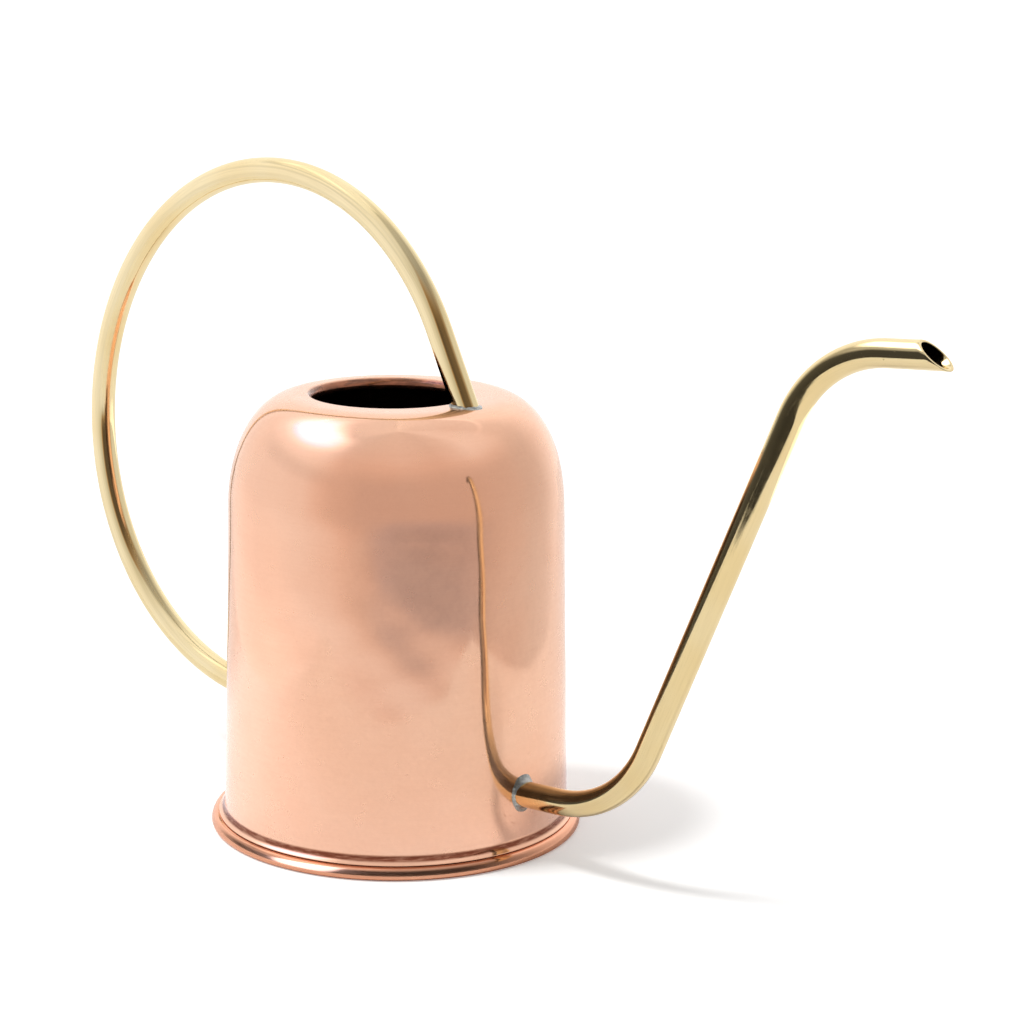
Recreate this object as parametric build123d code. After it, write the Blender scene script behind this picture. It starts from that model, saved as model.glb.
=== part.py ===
from build123d import *
import math
import os

# Indoor watering can: a spun copper body with a curled base, a brass ring handle and a brass spout.
# Millimetres, +Z up. The origin is on the body's axis, on the surface the can stands on.
# The handle and the spout share the centre plane Y = 0. The spout points to +X, the handle to -X.

# Driving dimensions of the copper body
BODY_HEIGHT = 136.0
WALL_FOOT_RADIUS = 53.8
WALL_FOOT_HEIGHT = 5.6
WALL_TOP_RADIUS = 51.7
SHOULDER_WIDTH = 21.2
SHOULDER_DROP = 35.6
SHOULDER_POWER = 2.11
SHEET = 0.8

# Turned-in filler opening, set back to leave room for the handle's front foot
FILLER_OFFSET = -2.9
FILLER_FLAT_RADIUS = 26.2
FILLER_ROUND = 2.4
FILLER_DEPTH = 3.4

# Foot of the body, folded into the curled edge of the base plate
FLARE_RADIUS = 54.5
FLARE_HEIGHT = 4.5
FLANGE_RADIUS = 55.7
FLANGE_TOP = 1.6
CURL_RADIUS = 2.2
CURL_CENTRE_RADIUS = 55.8
CURL_END_ANGLE = 120
RECESS_RADIUS = 49.0
RECESS_STEP_RADIUS = 51.0
RECESS_DEPTH = 1.5

# Brass tube, the same stock for the handle and the spout
TUBE_RADIUS = 4.0
TUBE_WALL = 0.7

# Spout: near-level root, rising run, near-level mouth with a slanting cut
SPOUT_ROOT = (50.2, 20.2)
SPOUT_LOWER_CORNER = (92.1, 22.9)
SPOUT_LOWER_BEND = 39.6
SPOUT_UPPER_CORNER = (156.9, 169.3)
SPOUT_UPPER_BEND = 36.4
SPOUT_END = (206.0, 173.4)
MOUTH_TOP = (188.0, 176.2)
MOUTH_BOTTOM = (198.3, 168.7)
SPOUT_BORE_CLEARANCE = 0.05

# Handle: a slightly oval ring with a straight foot at each end
RING_CENTRE = (-56.8, 114.0)
RING_SHORT_RADIUS = 81.2
RING_LONG_RADIUS = 87.6
RING_TILT = -33.4
RING_FRONT_ANGLE = 61.9

# Soft-solder fillets
SPOUT_FILLET = 1.7
REAR_FILLET = 1.5
FRONT_FILLET = 0.8
SEAM_FILLET = 1.5
SOLDER_FILM = 0.01


def point(radius, height):
    """A point of a profile in the XZ plane."""
    return Vector(radius, 0, height)


def shoulder_points(depth, steps=10):
    """Shoulder of the body from wall to flat top, set in from the outer skin by depth."""
    points = []
    for i in range(steps + 1):
        angle = math.pi / 2 * i / steps
        across = math.cos(angle) ** (2 / SHOULDER_POWER)
        up = math.sin(angle) ** (2 / SHOULDER_POWER)
        slope_r = across ** (SHOULDER_POWER - 1) / SHOULDER_WIDTH
        slope_z = up ** (SHOULDER_POWER - 1) / SHOULDER_DROP
        length = math.hypot(slope_r, slope_z)
        radius = WALL_TOP_RADIUS - SHOULDER_WIDTH + SHOULDER_WIDTH * across
        height = BODY_HEIGHT - SHOULDER_DROP + SHOULDER_DROP * up
        points.append(point(radius - depth * slope_r / length, height - depth * slope_z / length))
    return points


def shoulder_curve(depth):
    """Smooth curve through the shoulder, upright at the wall and level at the flat top."""
    return Spline(*shoulder_points(depth), tangents=[(0, 0, 1), (-1, 0, 0)])


def spin(outline):
    """Revolve a closed outline of edges about the body's axis."""
    return revolve(make_face(Wire(outline)), Axis.Z)


def spun_wall():
    """Body from the foot flange to a closed flat top, before the openings are cut."""
    outer = shoulder_curve(0)
    inner = shoulder_curve(SHEET)
    outside = Polyline(
        point(FLANGE_RADIUS, FLANGE_TOP - SHEET),
        point(FLANGE_RADIUS, FLANGE_TOP),
        point(FLARE_RADIUS, FLANGE_TOP),
        point(FLARE_RADIUS, FLARE_HEIGHT),
        point(WALL_FOOT_RADIUS, WALL_FOOT_HEIGHT),
        outer @ 0,
    )
    top = Polyline(outer @ 1, point(0, BODY_HEIGHT), point(0, BODY_HEIGHT - SHEET), inner @ 1)
    inside = Polyline(
        inner @ 0,
        point(WALL_FOOT_RADIUS - SHEET, WALL_FOOT_HEIGHT),
        point(FLARE_RADIUS - SHEET, FLARE_HEIGHT),
        point(FLARE_RADIUS - SHEET, FLANGE_TOP - SHEET),
        point(FLANGE_RADIUS, FLANGE_TOP - SHEET),
    )
    return spin([*outside.edges(), outer, *top.edges(), inner, *inside.edges()])


def filled_body():
    """Everything inside the body's outer skin, used to cope the tubes and the solder."""
    outer = shoulder_curve(0)
    outline = Polyline(outer @ 1, point(0, BODY_HEIGHT), point(0, 0), point(WALL_FOOT_RADIUS, 0),
                       point(WALL_FOOT_RADIUS, WALL_FOOT_HEIGHT), outer @ 0)
    return spin([outer, *outline.edges()])


def filler_lip():
    """Edge of the filler opening, rolled down into the body."""
    centre = (FILLER_FLAT_RADIUS, BODY_HEIGHT - FILLER_ROUND)
    bore = FILLER_FLAT_RADIUS - FILLER_ROUND
    outer = Plane.XZ.location * CenterArc(centre, FILLER_ROUND, 90, 90)
    inner = Plane.XZ.location * CenterArc(centre, FILLER_ROUND - SHEET, 90, 90)
    cut_edge = Polyline(
        point(bore, BODY_HEIGHT - FILLER_ROUND),
        point(bore, BODY_HEIGHT - FILLER_DEPTH),
        point(bore + SHEET, BODY_HEIGHT - FILLER_DEPTH),
        point(bore + SHEET, BODY_HEIGHT - FILLER_ROUND),
    )
    joined = Line(point(FILLER_FLAT_RADIUS, BODY_HEIGHT), point(FILLER_FLAT_RADIUS, BODY_HEIGHT - SHEET))
    return Pos(FILLER_OFFSET, 0, 0) * spin([*outer.edges(), *cut_edge.edges(), *inner.edges(), joined])


def body_shell():
    """Spun shell with its filler opening and the hole the spout is soldered into."""
    opening = Pos(FILLER_OFFSET, 0, BODY_HEIGHT) * Cylinder(FILLER_FLAT_RADIUS, 4 * SHEET)
    spout_hole = root_cylinder(TUBE_RADIUS + SPOUT_BORE_CLEARANCE)
    return spun_wall() - opening + filler_lip() - spout_hole


def base_plate():
    """Base disc, stepped up in the middle, its edge curled over the body's flange."""
    centre = (CURL_CENTRE_RADIUS, CURL_RADIUS)
    inner_radius = CURL_RADIUS - SHEET
    turn = math.radians(CURL_END_ANGLE)
    outside = Plane.XZ.location * CenterArc(centre, CURL_RADIUS, -90, CURL_END_ANGLE + 90)
    inside = Plane.XZ.location * CenterArc(centre, inner_radius, -90, CURL_END_ANGLE + 90)
    curl_edge = Line(
        point(centre[0] + CURL_RADIUS * math.cos(turn), centre[1] + CURL_RADIUS * math.sin(turn)),
        point(centre[0] + inner_radius * math.cos(turn), centre[1] + inner_radius * math.sin(turn)),
    )
    disc = Polyline(
        point(CURL_CENTRE_RADIUS, 0),
        point(RECESS_STEP_RADIUS, 0),
        point(RECESS_RADIUS, RECESS_DEPTH),
        point(0, RECESS_DEPTH),
        point(0, RECESS_DEPTH + SHEET),
        point(RECESS_RADIUS, RECESS_DEPTH + SHEET),
        point(RECESS_STEP_RADIUS, SHEET),
        point(CURL_CENTRE_RADIUS, SHEET),
    )
    return spin([*outside.edges(), curl_edge, *inside.edges(), *disc.edges()])


def tube_along(path, radius):
    """Round bar of the given radius along a path."""
    return sweep(Plane(origin=path @ 0, z_dir=path % 0) * Circle(radius), path=path)


def hollow_tube(path):
    """Brass tube along a path, open at both ends."""
    ring = Circle(TUBE_RADIUS) - Circle(TUBE_RADIUS - TUBE_WALL)
    return sweep(Plane(origin=path @ 0, z_dir=path % 0) * ring, path=path)


def spout_path():
    """Centre line of the spout with its two bends."""
    corners = [SPOUT_ROOT, SPOUT_LOWER_CORNER, SPOUT_UPPER_CORNER, SPOUT_END]
    return FilletPolyline(*[point(*c) for c in corners], radius=[SPOUT_LOWER_BEND, SPOUT_UPPER_BEND])


def root_plane():
    """Plane across the spout's root, looking along the spout."""
    return Plane(origin=point(*SPOUT_ROOT), z_dir=point(*SPOUT_LOWER_CORNER) - point(*SPOUT_ROOT))


def root_cylinder(radius):
    """Bar along the straight root of the spout, long enough to pass through the wall."""
    return extrude(root_plane() * Circle(radius), 14)


def spout_tube():
    """Spout tube, cut off on a slant at the mouth."""
    across = Vector(MOUTH_BOTTOM[0] - MOUTH_TOP[0], 0, MOUTH_BOTTOM[1] - MOUTH_TOP[1])
    mouth = Plane(origin=point(*MOUTH_TOP), x_dir=across, z_dir=(-across.Z, 0, across.X))
    beyond = mouth.location * Pos(0, 0, 30) * Box(100, 60, 60)
    return hollow_tube(spout_path()) - beyond


def ring_lowest_angle():
    """Parameter angle at which the oval ring runs level, at its lowest point."""
    tilt = math.radians(RING_TILT)
    turn = math.atan2(RING_LONG_RADIUS * math.cos(tilt), RING_SHORT_RADIUS * math.sin(tilt))
    return math.degrees(turn) + 180


def handle_path():
    """Centre line of the handle from its front foot, over the ring, to its rear foot."""
    oval = EllipticalCenterArc(RING_CENTRE, RING_SHORT_RADIUS, RING_LONG_RADIUS, RING_FRONT_ANGLE,
                               arc_size=ring_lowest_angle() - RING_FRONT_ANGLE, rotation=RING_TILT)
    ring = (Plane.XZ.location * oval).edges()[0]
    reach = ((ring @ 0).Z - BODY_HEIGHT + 2 * SHEET) / (ring % 0).Z
    front = Line((ring @ 0) - (ring % 0) * reach, ring @ 0)
    rear = Line(ring @ 1, point(SHEET - WALL_TOP_RADIUS, (ring @ 1).Z))
    return Wire([*front.edges(), ring, *rear.edges()])


def handle_tube():
    """Handle tube, both ends shaped to the body they are soldered onto."""
    return hollow_tube(handle_path()) - filled_body()


def fillet_ring(plane, size):
    """Cone of solder around a tube that leaves the body along the plane's normal."""
    cone = Cone(TUBE_RADIUS + size + 2, TUBE_RADIUS - 0.5, size + 2.5)
    return plane.location * Pos(0, 0, (size + 2.5) / 2 - 2) * cone


def spout_solder():
    """Solder fillet where the spout leaves the wall."""
    wall = root_plane().offset(WALL_FOOT_RADIUS - SPOUT_ROOT[0] - 0.3)
    return fillet_ring(wall, SPOUT_FILLET) - filled_body() - root_cylinder(TUBE_RADIUS)


def handle_rear_solder():
    """Solder fillet where the handle's rear foot meets the wall."""
    path = handle_path()
    wall = Plane(origin=(0.4 - WALL_FOOT_RADIUS, 0, (path @ 1).Z), z_dir=(-1, 0, 0))
    return fillet_ring(wall, REAR_FILLET) - filled_body() - tube_along(path, TUBE_RADIUS)


def handle_front_solder():
    """Solder fillet around the oval footprint of the handle's front foot on the flat top."""
    path = handle_path()
    lean = path % 0
    reach = TUBE_RADIUS / lean.Z
    below = 1.0
    start = path @ 0
    sections = []
    for rise, spread in ((-below, FRONT_FILLET + below), (FRONT_FILLET, 0.0)):
        centre = start + lean * ((BODY_HEIGHT + rise - start.Z) / lean.Z)
        sections.append(Pos(centre.X, 0, BODY_HEIGHT + rise) * Ellipse(reach + spread, TUBE_RADIUS + spread))
    return loft(sections) - Pos(0, 0, SOLDER_FILM) * filled_body() - tube_along(path, TUBE_RADIUS)


def base_seam_solder():
    """Bead that seals the base plate to the shell inside the can."""
    corner = FLARE_RADIUS - SHEET
    outline = Polyline(point(corner, SHEET), point(corner, SHEET + SEAM_FILLET),
                       point(corner - SEAM_FILLET, SHEET), close=True)
    return spin(outline.edges())


PIECES = {
    "body_shell": body_shell,
    "base_plate": base_plate,
    "base_seam_solder": base_seam_solder,
    "spout_tube": spout_tube,
    "spout_solder": spout_solder,
    "handle_tube": handle_tube,
    "handle_front_solder": handle_front_solder,
    "handle_rear_solder": handle_rear_solder,
}

os.makedirs("parts", exist_ok=True)
for name, build in PIECES.items():
    export_step(build(), f"parts/{name}.step")
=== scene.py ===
import math

import bmesh
import bpy
import numpy as np
from mathutils import Matrix, Vector


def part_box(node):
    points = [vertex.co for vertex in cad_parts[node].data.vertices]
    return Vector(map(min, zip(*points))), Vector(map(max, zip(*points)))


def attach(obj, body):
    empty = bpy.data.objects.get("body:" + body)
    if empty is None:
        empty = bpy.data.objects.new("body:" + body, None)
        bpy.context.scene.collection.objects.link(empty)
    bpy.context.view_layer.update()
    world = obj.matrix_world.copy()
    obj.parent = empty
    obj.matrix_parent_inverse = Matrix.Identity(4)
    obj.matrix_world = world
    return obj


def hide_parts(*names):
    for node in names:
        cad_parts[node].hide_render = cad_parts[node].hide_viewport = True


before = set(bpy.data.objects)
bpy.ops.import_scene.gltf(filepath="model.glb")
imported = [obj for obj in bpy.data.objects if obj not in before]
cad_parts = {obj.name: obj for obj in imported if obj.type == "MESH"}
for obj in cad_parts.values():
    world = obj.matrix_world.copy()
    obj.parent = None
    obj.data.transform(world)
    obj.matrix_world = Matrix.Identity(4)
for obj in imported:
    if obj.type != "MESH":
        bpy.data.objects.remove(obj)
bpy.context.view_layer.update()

# Looks of the copper watering can. The lengths below are millimetres in the part's own frame and repeat
# the design's driving dimensions; every mesh is turned into metres as it is made.
MM = 0.001


def low(node, axis):
    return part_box(node)[0][axis] / MM


def high(node, axis):
    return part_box(node)[1][axis] / MM


# ---- dimensions
BODY_TOP = high("body_shell", 2)
WALL_FOOT = (53.8, 5.6)
WALL_TOP = (51.7, BODY_TOP - 35.6)
SHOULDER_WIDTH, SHOULDER_DROP, SHOULDER_POWER = 21.2, 35.6, 2.11
SHEET = 0.8
LIP_OFFSET, LIP_FLAT_RADIUS, LIP_ROUND, LIP_DEPTH = -2.9, 26.2, 2.4, 3.4
COVE_CENTRE, COVE_RADIUS = (WALL_FOOT[0] + 3.39, 7.3), 3.4
BEAD_EDGE = high("base_plate", 0)
TUBE_R = (high("spout_tube", 1) - low("spout_tube", 1)) / 2 - 0.015
TUBE_WALL = 0.7
SPOUT_CORNERS = [(50.2, 20.2), (92.1, 22.9), (156.9, 169.3), (206.0, 173.4)]
SPOUT_BENDS = [39.6, 36.4]
MOUTH_TOP, MOUTH_BOTTOM = (188.0, 176.2), (198.3, 168.7)
RING_CENTRE, RING_SHORT, RING_LONG = (-56.8, 114.0), 81.2, 87.6
RING_TILT, RING_FRONT = math.radians(-33.4), math.radians(61.9)
DISC_TOP, DISC_UNDER = 2.3, 1.5
BODY_SIDES, TUBE_SIDES, SOLDER_SIDES = 256, 96, 120


# ---- the body's skin
def ripple(theta, z):
    """Hand-finishing waviness of the skin in millimetres, gone at the foot and on the top."""
    fade = np.clip((z - 9) / 14, 0, 1) * np.clip((BODY_TOP - 4 - z) / 22, 0, 1)
    wave = (0.060 * np.sin(2 * theta + 0.041 * z + 0.7) + 0.035 * np.sin(5 * theta - 0.073 * z + 2.1)
            + 0.022 * np.sin(3 * theta + 0.160 * z + 4.0) + 0.012 * np.sin(7 * theta + 0.210 * z + 1.3)
            + 0.016 * np.sin(11 * theta + 0.250 * z + 0.5) + 0.004 * np.sin(9 * theta - 0.520 * z + 1.9)
            + 0.006 * np.sin(19 * theta + 0.310 * z + 2.6))
    return fade * wave


def skin_radius(z):
    """Radius of the body's outer skin at height z, without the ripple."""
    z = np.asarray(z, float)
    wall = WALL_FOOT[0] + (WALL_TOP[0] - WALL_FOOT[0]) * (z - WALL_FOOT[1]) / (WALL_TOP[1] - WALL_FOOT[1])
    up = np.clip((z - WALL_TOP[1]) / SHOULDER_DROP, 0, 1)
    across = (1 - up ** SHOULDER_POWER) ** (1 / SHOULDER_POWER)
    shoulder = WALL_TOP[0] - SHOULDER_WIDTH + SHOULDER_WIDTH * across
    return np.where(z < WALL_TOP[1], wall, shoulder)


def inside_skin(p):
    """Above zero where the points p lie inside the body's outer skin."""
    radius = np.hypot(p[:, 0], p[:, 1])
    theta = np.arctan2(p[:, 1], p[:, 0])
    side = skin_radius(np.minimum(p[:, 2], BODY_TOP - 1e-6)) + ripple(theta, p[:, 2]) - radius
    return np.minimum(side, BODY_TOP - p[:, 2])


def reach_skin(start, direction, longest):
    """Distance from each start point along direction to where the line first meets the skin."""
    near, far = np.zeros(len(start)), np.full(len(start), float(longest))
    for _ in range(48):
        middle = (near + far) / 2
        outside = inside_skin(start + middle[:, None] * direction) < 0
        near, far = np.where(outside, middle, near), np.where(outside, far, middle)
    return (near + far) / 2


# ---- mesh helpers
def round_angles(count):
    return np.arange(count) * 2 * math.pi / count


def turned(radius, theta, z, offset=0.0):
    """Ring of points round the body's axis, or round an axis moved along X by offset."""
    return np.stack([radius * np.cos(theta) + offset, radius * np.sin(theta), z], 1)


def in_scene(name, data):
    """New object for some data, linked into the scene."""
    thing = bpy.data.objects.new(name, data)
    bpy.context.scene.collection.objects.link(thing)
    return thing


def new_mesh(name, points, faces):
    """New mesh from points in metres."""
    mesh = bpy.data.meshes.new(name)
    mesh.from_pydata(points, [], faces)
    return mesh


def outward(piece):
    """Turns every face of a closed piece to the outside."""
    work = bmesh.new()
    work.from_mesh(piece.data)
    bmesh.ops.recalc_face_normals(work, faces=work.faces)
    work.to_mesh(piece.data)
    work.free()


def new_piece(name, points, faces, node_names, finishes, attributes=None, sharp=None, inside=None):
    """Visible piece from points in millimetres; inside holds the number of each face's finish."""
    mesh = new_mesh(name, (np.asarray(points) * MM).tolist(), faces)
    mesh.validate()
    for finish in finishes:
        mesh.materials.append(finish)
    if inside is not None:
        mesh.polygons.foreach_set("material_index", np.asarray(inside, np.int32))
    for attribute, values in (attributes or {}).items():
        layer = mesh.attributes.new(attribute, "FLOAT_VECTOR", "POINT")
        layer.data.foreach_set("vector", np.asarray(values, np.float32).ravel())
    mesh.polygons.foreach_set("use_smooth", [True] * len(mesh.polygons))
    piece = in_scene(name, mesh)
    if sharp is not None:
        mesh.set_sharp_from_angle(angle=math.radians(sharp))
    outward(piece)
    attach(piece, "root")
    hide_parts(*node_names)
    return piece


def loop_faces(rings, count):
    """Quads between consecutive rings of count points, the last joined to the first."""
    index = np.arange(count)
    following = (index + 1) % count
    faces = []
    for i in range(rings):
        a, b = i * count, ((i + 1) % rings) * count
        faces += np.stack([a + index, a + following, b + following, b + index], 1).tolist()
    return faces


def without_slivers(mesh):
    """Merges points that nearly coincide and takes out faces without area."""
    work = bmesh.new()
    work.from_mesh(mesh)
    bmesh.ops.remove_doubles(work, verts=work.verts, dist=5e-7)
    bmesh.ops.dissolve_degenerate(work, edges=work.edges, dist=5e-7)
    work.to_mesh(mesh)
    work.free()


# ---- copper shell
def shoulder_profile(depth, steps):
    """Radius and height along the domed shoulder, at a depth below the outer skin."""
    rows = []
    for i in range(1, steps + 1):
        angle = math.pi / 2 * i / steps
        across = math.cos(angle) ** (2 / SHOULDER_POWER) if i < steps else 0.0
        up = math.sin(angle) ** (2 / SHOULDER_POWER)
        slope_r = across ** (SHOULDER_POWER - 1) / SHOULDER_WIDTH
        slope_z = up ** (SHOULDER_POWER - 1) / SHOULDER_DROP
        length = math.hypot(slope_r, slope_z)
        rows.append((WALL_TOP[0] - SHOULDER_WIDTH + SHOULDER_WIDTH * across - depth * slope_r / length,
                     WALL_TOP[1] + SHOULDER_DROP * up - depth * slope_z / length))
    return rows


def make_body():
    """The spun copper shell, from one closed profile up the outside and down the inside."""
    count = BODY_SIDES
    theta = round_angles(count)
    outer = [(55.62, 0.80), (55.70, 0.90), (55.70, 1.50), (55.62, 1.60), (54.95, 1.62), (54.62, 1.75),
             (54.50, 2.10), (54.50, 3.60), (54.58, 3.86), (54.85, 3.95), (55.35, 3.94), (55.56, 3.98),
             (55.64, 4.09), (55.62, 4.22)]
    for a in np.radians(np.linspace(60, 1, 20)):
        outer.append((COVE_CENTRE[0] - COVE_RADIUS * math.cos(a), COVE_CENTRE[1] - COVE_RADIUS * math.sin(a)))
    rows = [(r, z, 0.0) for r, z in outer]
    wall_low, wall_high = 8.4, WALL_TOP[1] - 1e-9
    for z in np.linspace(wall_low, WALL_TOP[1], 42):
        rows.append((float(skin_radius(min(z, wall_high))), float(z), 0.0))
    rows += [(r, z, 0.0) for r, z in shoulder_profile(0, 56)]
    flat = WALL_TOP[0] - SHOULDER_WIDTH
    for t in (0.25, 0.5, 0.75, 0.92, 1.0):
        rows.append((flat + (LIP_FLAT_RADIUS - flat) * t, BODY_TOP, LIP_OFFSET * t))
    bore = LIP_FLAT_RADIUS - LIP_ROUND

    def lip_roll(radius, degrees):
        return [(LIP_FLAT_RADIUS + radius * math.cos(math.radians(a)),
                 BODY_TOP - LIP_ROUND + radius * math.sin(math.radians(a)), LIP_OFFSET) for a in degrees]

    rows += lip_roll(LIP_ROUND, np.linspace(90, 180, 15)[1:])
    bottom = BODY_TOP - LIP_DEPTH
    rows += [(bore, bottom + 0.22, LIP_OFFSET), (bore + 0.07, bottom + 0.06, LIP_OFFSET),
             (bore + 0.2, bottom, LIP_OFFSET), (bore + SHEET - 0.2, bottom, LIP_OFFSET),
             (bore + SHEET - 0.05, bottom + 0.07, LIP_OFFSET), (bore + SHEET, bottom + 0.25, LIP_OFFSET)]
    rows += lip_roll(LIP_ROUND - SHEET, np.linspace(180, 90, 10))
    inside_from = len(rows) - 8
    for t in (0.9, 0.45, 0.0):
        rows.append((flat + (LIP_FLAT_RADIUS - flat) * t, BODY_TOP - SHEET, LIP_OFFSET * t))
    rows += [(r, z, 0.0) for r, z in reversed(shoulder_profile(SHEET, 30)[:-1])]
    for z in np.linspace(WALL_TOP[1], wall_low, 24):
        rows.append((float(skin_radius(min(z, wall_high))) - SHEET, float(z), 0.0))
    rows += [(53.0, 6.4, 0.0), (53.25, 5.3, 0.0), (53.68, 4.3, 0.0), (53.70, 2.0, 0.0), (53.70, 0.95, 0.0),
             (53.85, 0.80, 0.0)]
    points = []
    for radius, z, offset in rows:
        height = np.full(count, z)
        wave = ripple(theta, height)
        # the cut edge of the filler is filed by hand, so it isn't quite level
        ragged = 0.0
        if LIP_DEPTH - 0.3 < BODY_TOP - z <= LIP_DEPTH and offset:
            ragged = (0.09 * np.sin(9 * theta + 0.6) + 0.06 * np.sin(23 * theta)
                      + 0.04 * np.sin(41 * theta + 2))
        points.append(turned(radius + wave, theta, height + ragged, offset))
    inside = np.zeros((len(rows), count), int)
    inside[inside_from:] = 1
    piece = new_piece("copper_shell", np.concatenate(points), loop_faces(len(rows), count),
                      ["body_shell"], (copper, copper_inside), inside=inside.ravel())
    cut_spout_hole(piece)
    return piece


def cut_spout_hole(piece):
    """Hole in the wall that the spout passes through."""
    start, toward = SPOUT_CORNERS[0], SPOUT_CORNERS[1]
    along = Vector((toward[0] - start[0], 0, toward[1] - start[1])).normalized()
    side, up = Vector((0, 1, 0)), Vector((-along.z, 0, along.x))
    count, hole_radius = TUBE_SIDES, TUBE_R + 0.05
    points = []
    for reach in (-6.0, 12.0):
        middle = Vector((start[0], 0, start[1])) + along * reach
        for i in range(count):
            a = 2 * math.pi * i / count
            points.append((middle + (side * math.cos(a) + up * math.sin(a)) * hole_radius) * MM)
    faces = [(i, (i + 1) % count, count + (i + 1) % count, count + i) for i in range(count)]
    faces += [tuple(range(count))[::-1], tuple(range(count, 2 * count))]
    cutter = in_scene("hole", new_mesh("hole", points, faces))
    outward(cutter)
    cut = piece.modifiers.new("spout_hole", "BOOLEAN")
    cut.operation, cut.object, cut.solver = "DIFFERENCE", cutter, "EXACT"
    bpy.context.view_layer.update()
    evaluated = piece.evaluated_get(bpy.context.evaluated_depsgraph_get())
    result = bpy.data.meshes.new_from_object(evaluated)
    piece.modifiers.clear()
    piece.data = result
    result.name = "copper_shell"
    bpy.data.objects.remove(cutter)
    # the cut leaves a few slivers where both meshes have points on one plane
    without_slivers(result)


# ---- base plate with its curled edge
def make_base():
    """The base disc, stepped up from its standing ring, with its edge curled over the shell's foot."""
    count = BODY_SIDES
    theta = round_angles(count)
    # the bead is rolled a little flat on its outside, between two tighter bends
    foot_bend = 1.3
    skin, centre, before = [], (BEAD_EDGE - foot_bend, foot_bend), foot_bend
    for first, last, radius, steps in ((-90, 6, foot_bend, 18), (6, 28, 3.9, 12), (28, 100, 1.9, 14)):
        turn, change = math.radians(first), before - radius
        centre = (centre[0] + change * math.cos(turn), centre[1] + change * math.sin(turn))
        before = radius
        for a in np.radians(np.linspace(first, last, steps)[(1 if skin else 0):]):
            skin.append((centre[0] + radius * math.cos(a), centre[1] + radius * math.sin(a), a))
    rows = [(x, z) for x, z, _ in skin]
    end_x, end_z, end_turn = skin[-1]
    ahead = (-math.sin(end_turn), math.cos(end_turn))
    for depth in (0.2, SHEET - 0.2):
        rows.append((end_x - depth * math.cos(end_turn) + 0.12 * ahead[0],
                     end_z - depth * math.sin(end_turn) + 0.12 * ahead[1]))
    rows += [(x - SHEET * math.cos(a), z - SHEET * math.sin(a)) for x, z, a in reversed(skin)]
    rows += [(51.2, SHEET), (50.9, SHEET + 0.08), (49.2, DISC_TOP - 0.1)]
    rows += [(radius, DISC_TOP) for radius in (48.9, 40.0, 24.0, 8.0)]
    upper_end = len(rows)
    rows += [(radius, DISC_UNDER) for radius in (8.0, 24.0, 40.0, 48.7)]
    rows += [(49.1, DISC_UNDER - 0.08), (50.8, 0.12), (51.2, 0.0)]
    points = []
    for radius, z in rows:
        wobble = 0.0
        if radius > 54:
            wobble = -0.03 + 0.03 * np.sin(3 * theta + 1) * (radius - 54) / 4
        points.append(turned(radius + wobble, theta, np.full(count, z)))
    points = np.concatenate(points)
    faces = loop_faces(len(rows), count)
    # the inner hub is closed by a fan on each side instead of running through the axis
    skip = upper_end - 1
    faces = [f for f in faces if not (f[0] // count == skip and f[3] // count == upper_end)]
    top, bottom = len(points), len(points) + 1
    points = np.concatenate([points, [[0, 0, DISC_TOP], [0, 0, DISC_UNDER]]])
    for i in range(count):
        j = (i + 1) % count
        faces.append([skip * count + i, skip * count + j, top])
        faces.append([upper_end * count + j, upper_end * count + i, bottom])

    def faces_tank(face):
        heights = points[face, 2]
        within = np.hypot(points[face, 0], points[face, 1]).max() < 53.6
        return int(within and heights.min() > 0.5 and (heights.max() > 2.25 or heights.min() > 0.75))

    return new_piece("base_plate_curled", points, faces, ["base_plate"],
                     (copper_foot, copper_inside), sharp=55, inside=[faces_tank(face) for face in faces])


# ---- brass tubes
def unit(v):
    return v / np.linalg.norm(v)


def add_run(points, directions, ahead, run, step):
    """Carries a path straight on from its last point."""
    base, pieces = points[-1], max(2, int(run / step))
    for k in range(1, pieces + 1):
        points.append(base + ahead * run * k / pieces)
        directions.append(ahead)


def bent_path(corners, radii, step):
    """Points and directions along straight runs joined by arcs, all in the XZ plane."""
    corners = [np.array(c, float) for c in corners]
    points, directions = [corners[0]], [unit(corners[1] - corners[0])]
    for before, corner, after, radius in zip(corners, corners[1:], corners[2:], radii):
        a, b = unit(corner - before), unit(after - corner)
        turn = math.acos(float(np.clip(a @ b, -1, 1)))
        sign = 1.0 if a[0] * b[1] - a[1] * b[0] > 0 else -1.0
        setback = radius * math.tan(turn / 2)
        start = corner - a * setback
        add_run(points, directions, a, np.linalg.norm(start - points[-1]), step)
        left = np.array([-a[1], a[0]]) * sign
        hub = start + left * radius
        pieces = max(6, int(radius * turn / (step * 0.5)))
        for k in range(1, pieces + 1):
            t = turn * k / pieces
            points.append(hub - left * radius * math.cos(t) + a * radius * math.sin(t))
            directions.append(a * math.cos(t) + left * math.sin(t))
    rest = corners[-1] - points[-1]
    add_run(points, directions, unit(rest), np.linalg.norm(rest), step)
    return np.array(points), np.array(directions)


def tube_rings(points, directions, radius):
    """Rings of a tube along an XZ path, and their places on the drawn metal for its grain."""
    count = TUBE_SIDES
    angle = round_angles(count)
    rings, grain = [], []
    length = 0.0
    for i, (p, t) in enumerate(zip(points, directions)):
        if i:
            length += float(np.linalg.norm(p - points[i - 1]))
        up = np.array([-t[1], t[0]])
        off = radius * np.sin(angle)[:, None] * up[None, :]
        rings.append(np.stack([p[0] + off[:, 0], radius * np.cos(angle), p[1] + off[:, 1]], 1))
        grain.append(np.stack([TUBE_R * np.cos(angle), TUBE_R * np.sin(angle), np.full(count, length)], 1))
    return np.array(rings), np.array(grain)


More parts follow.
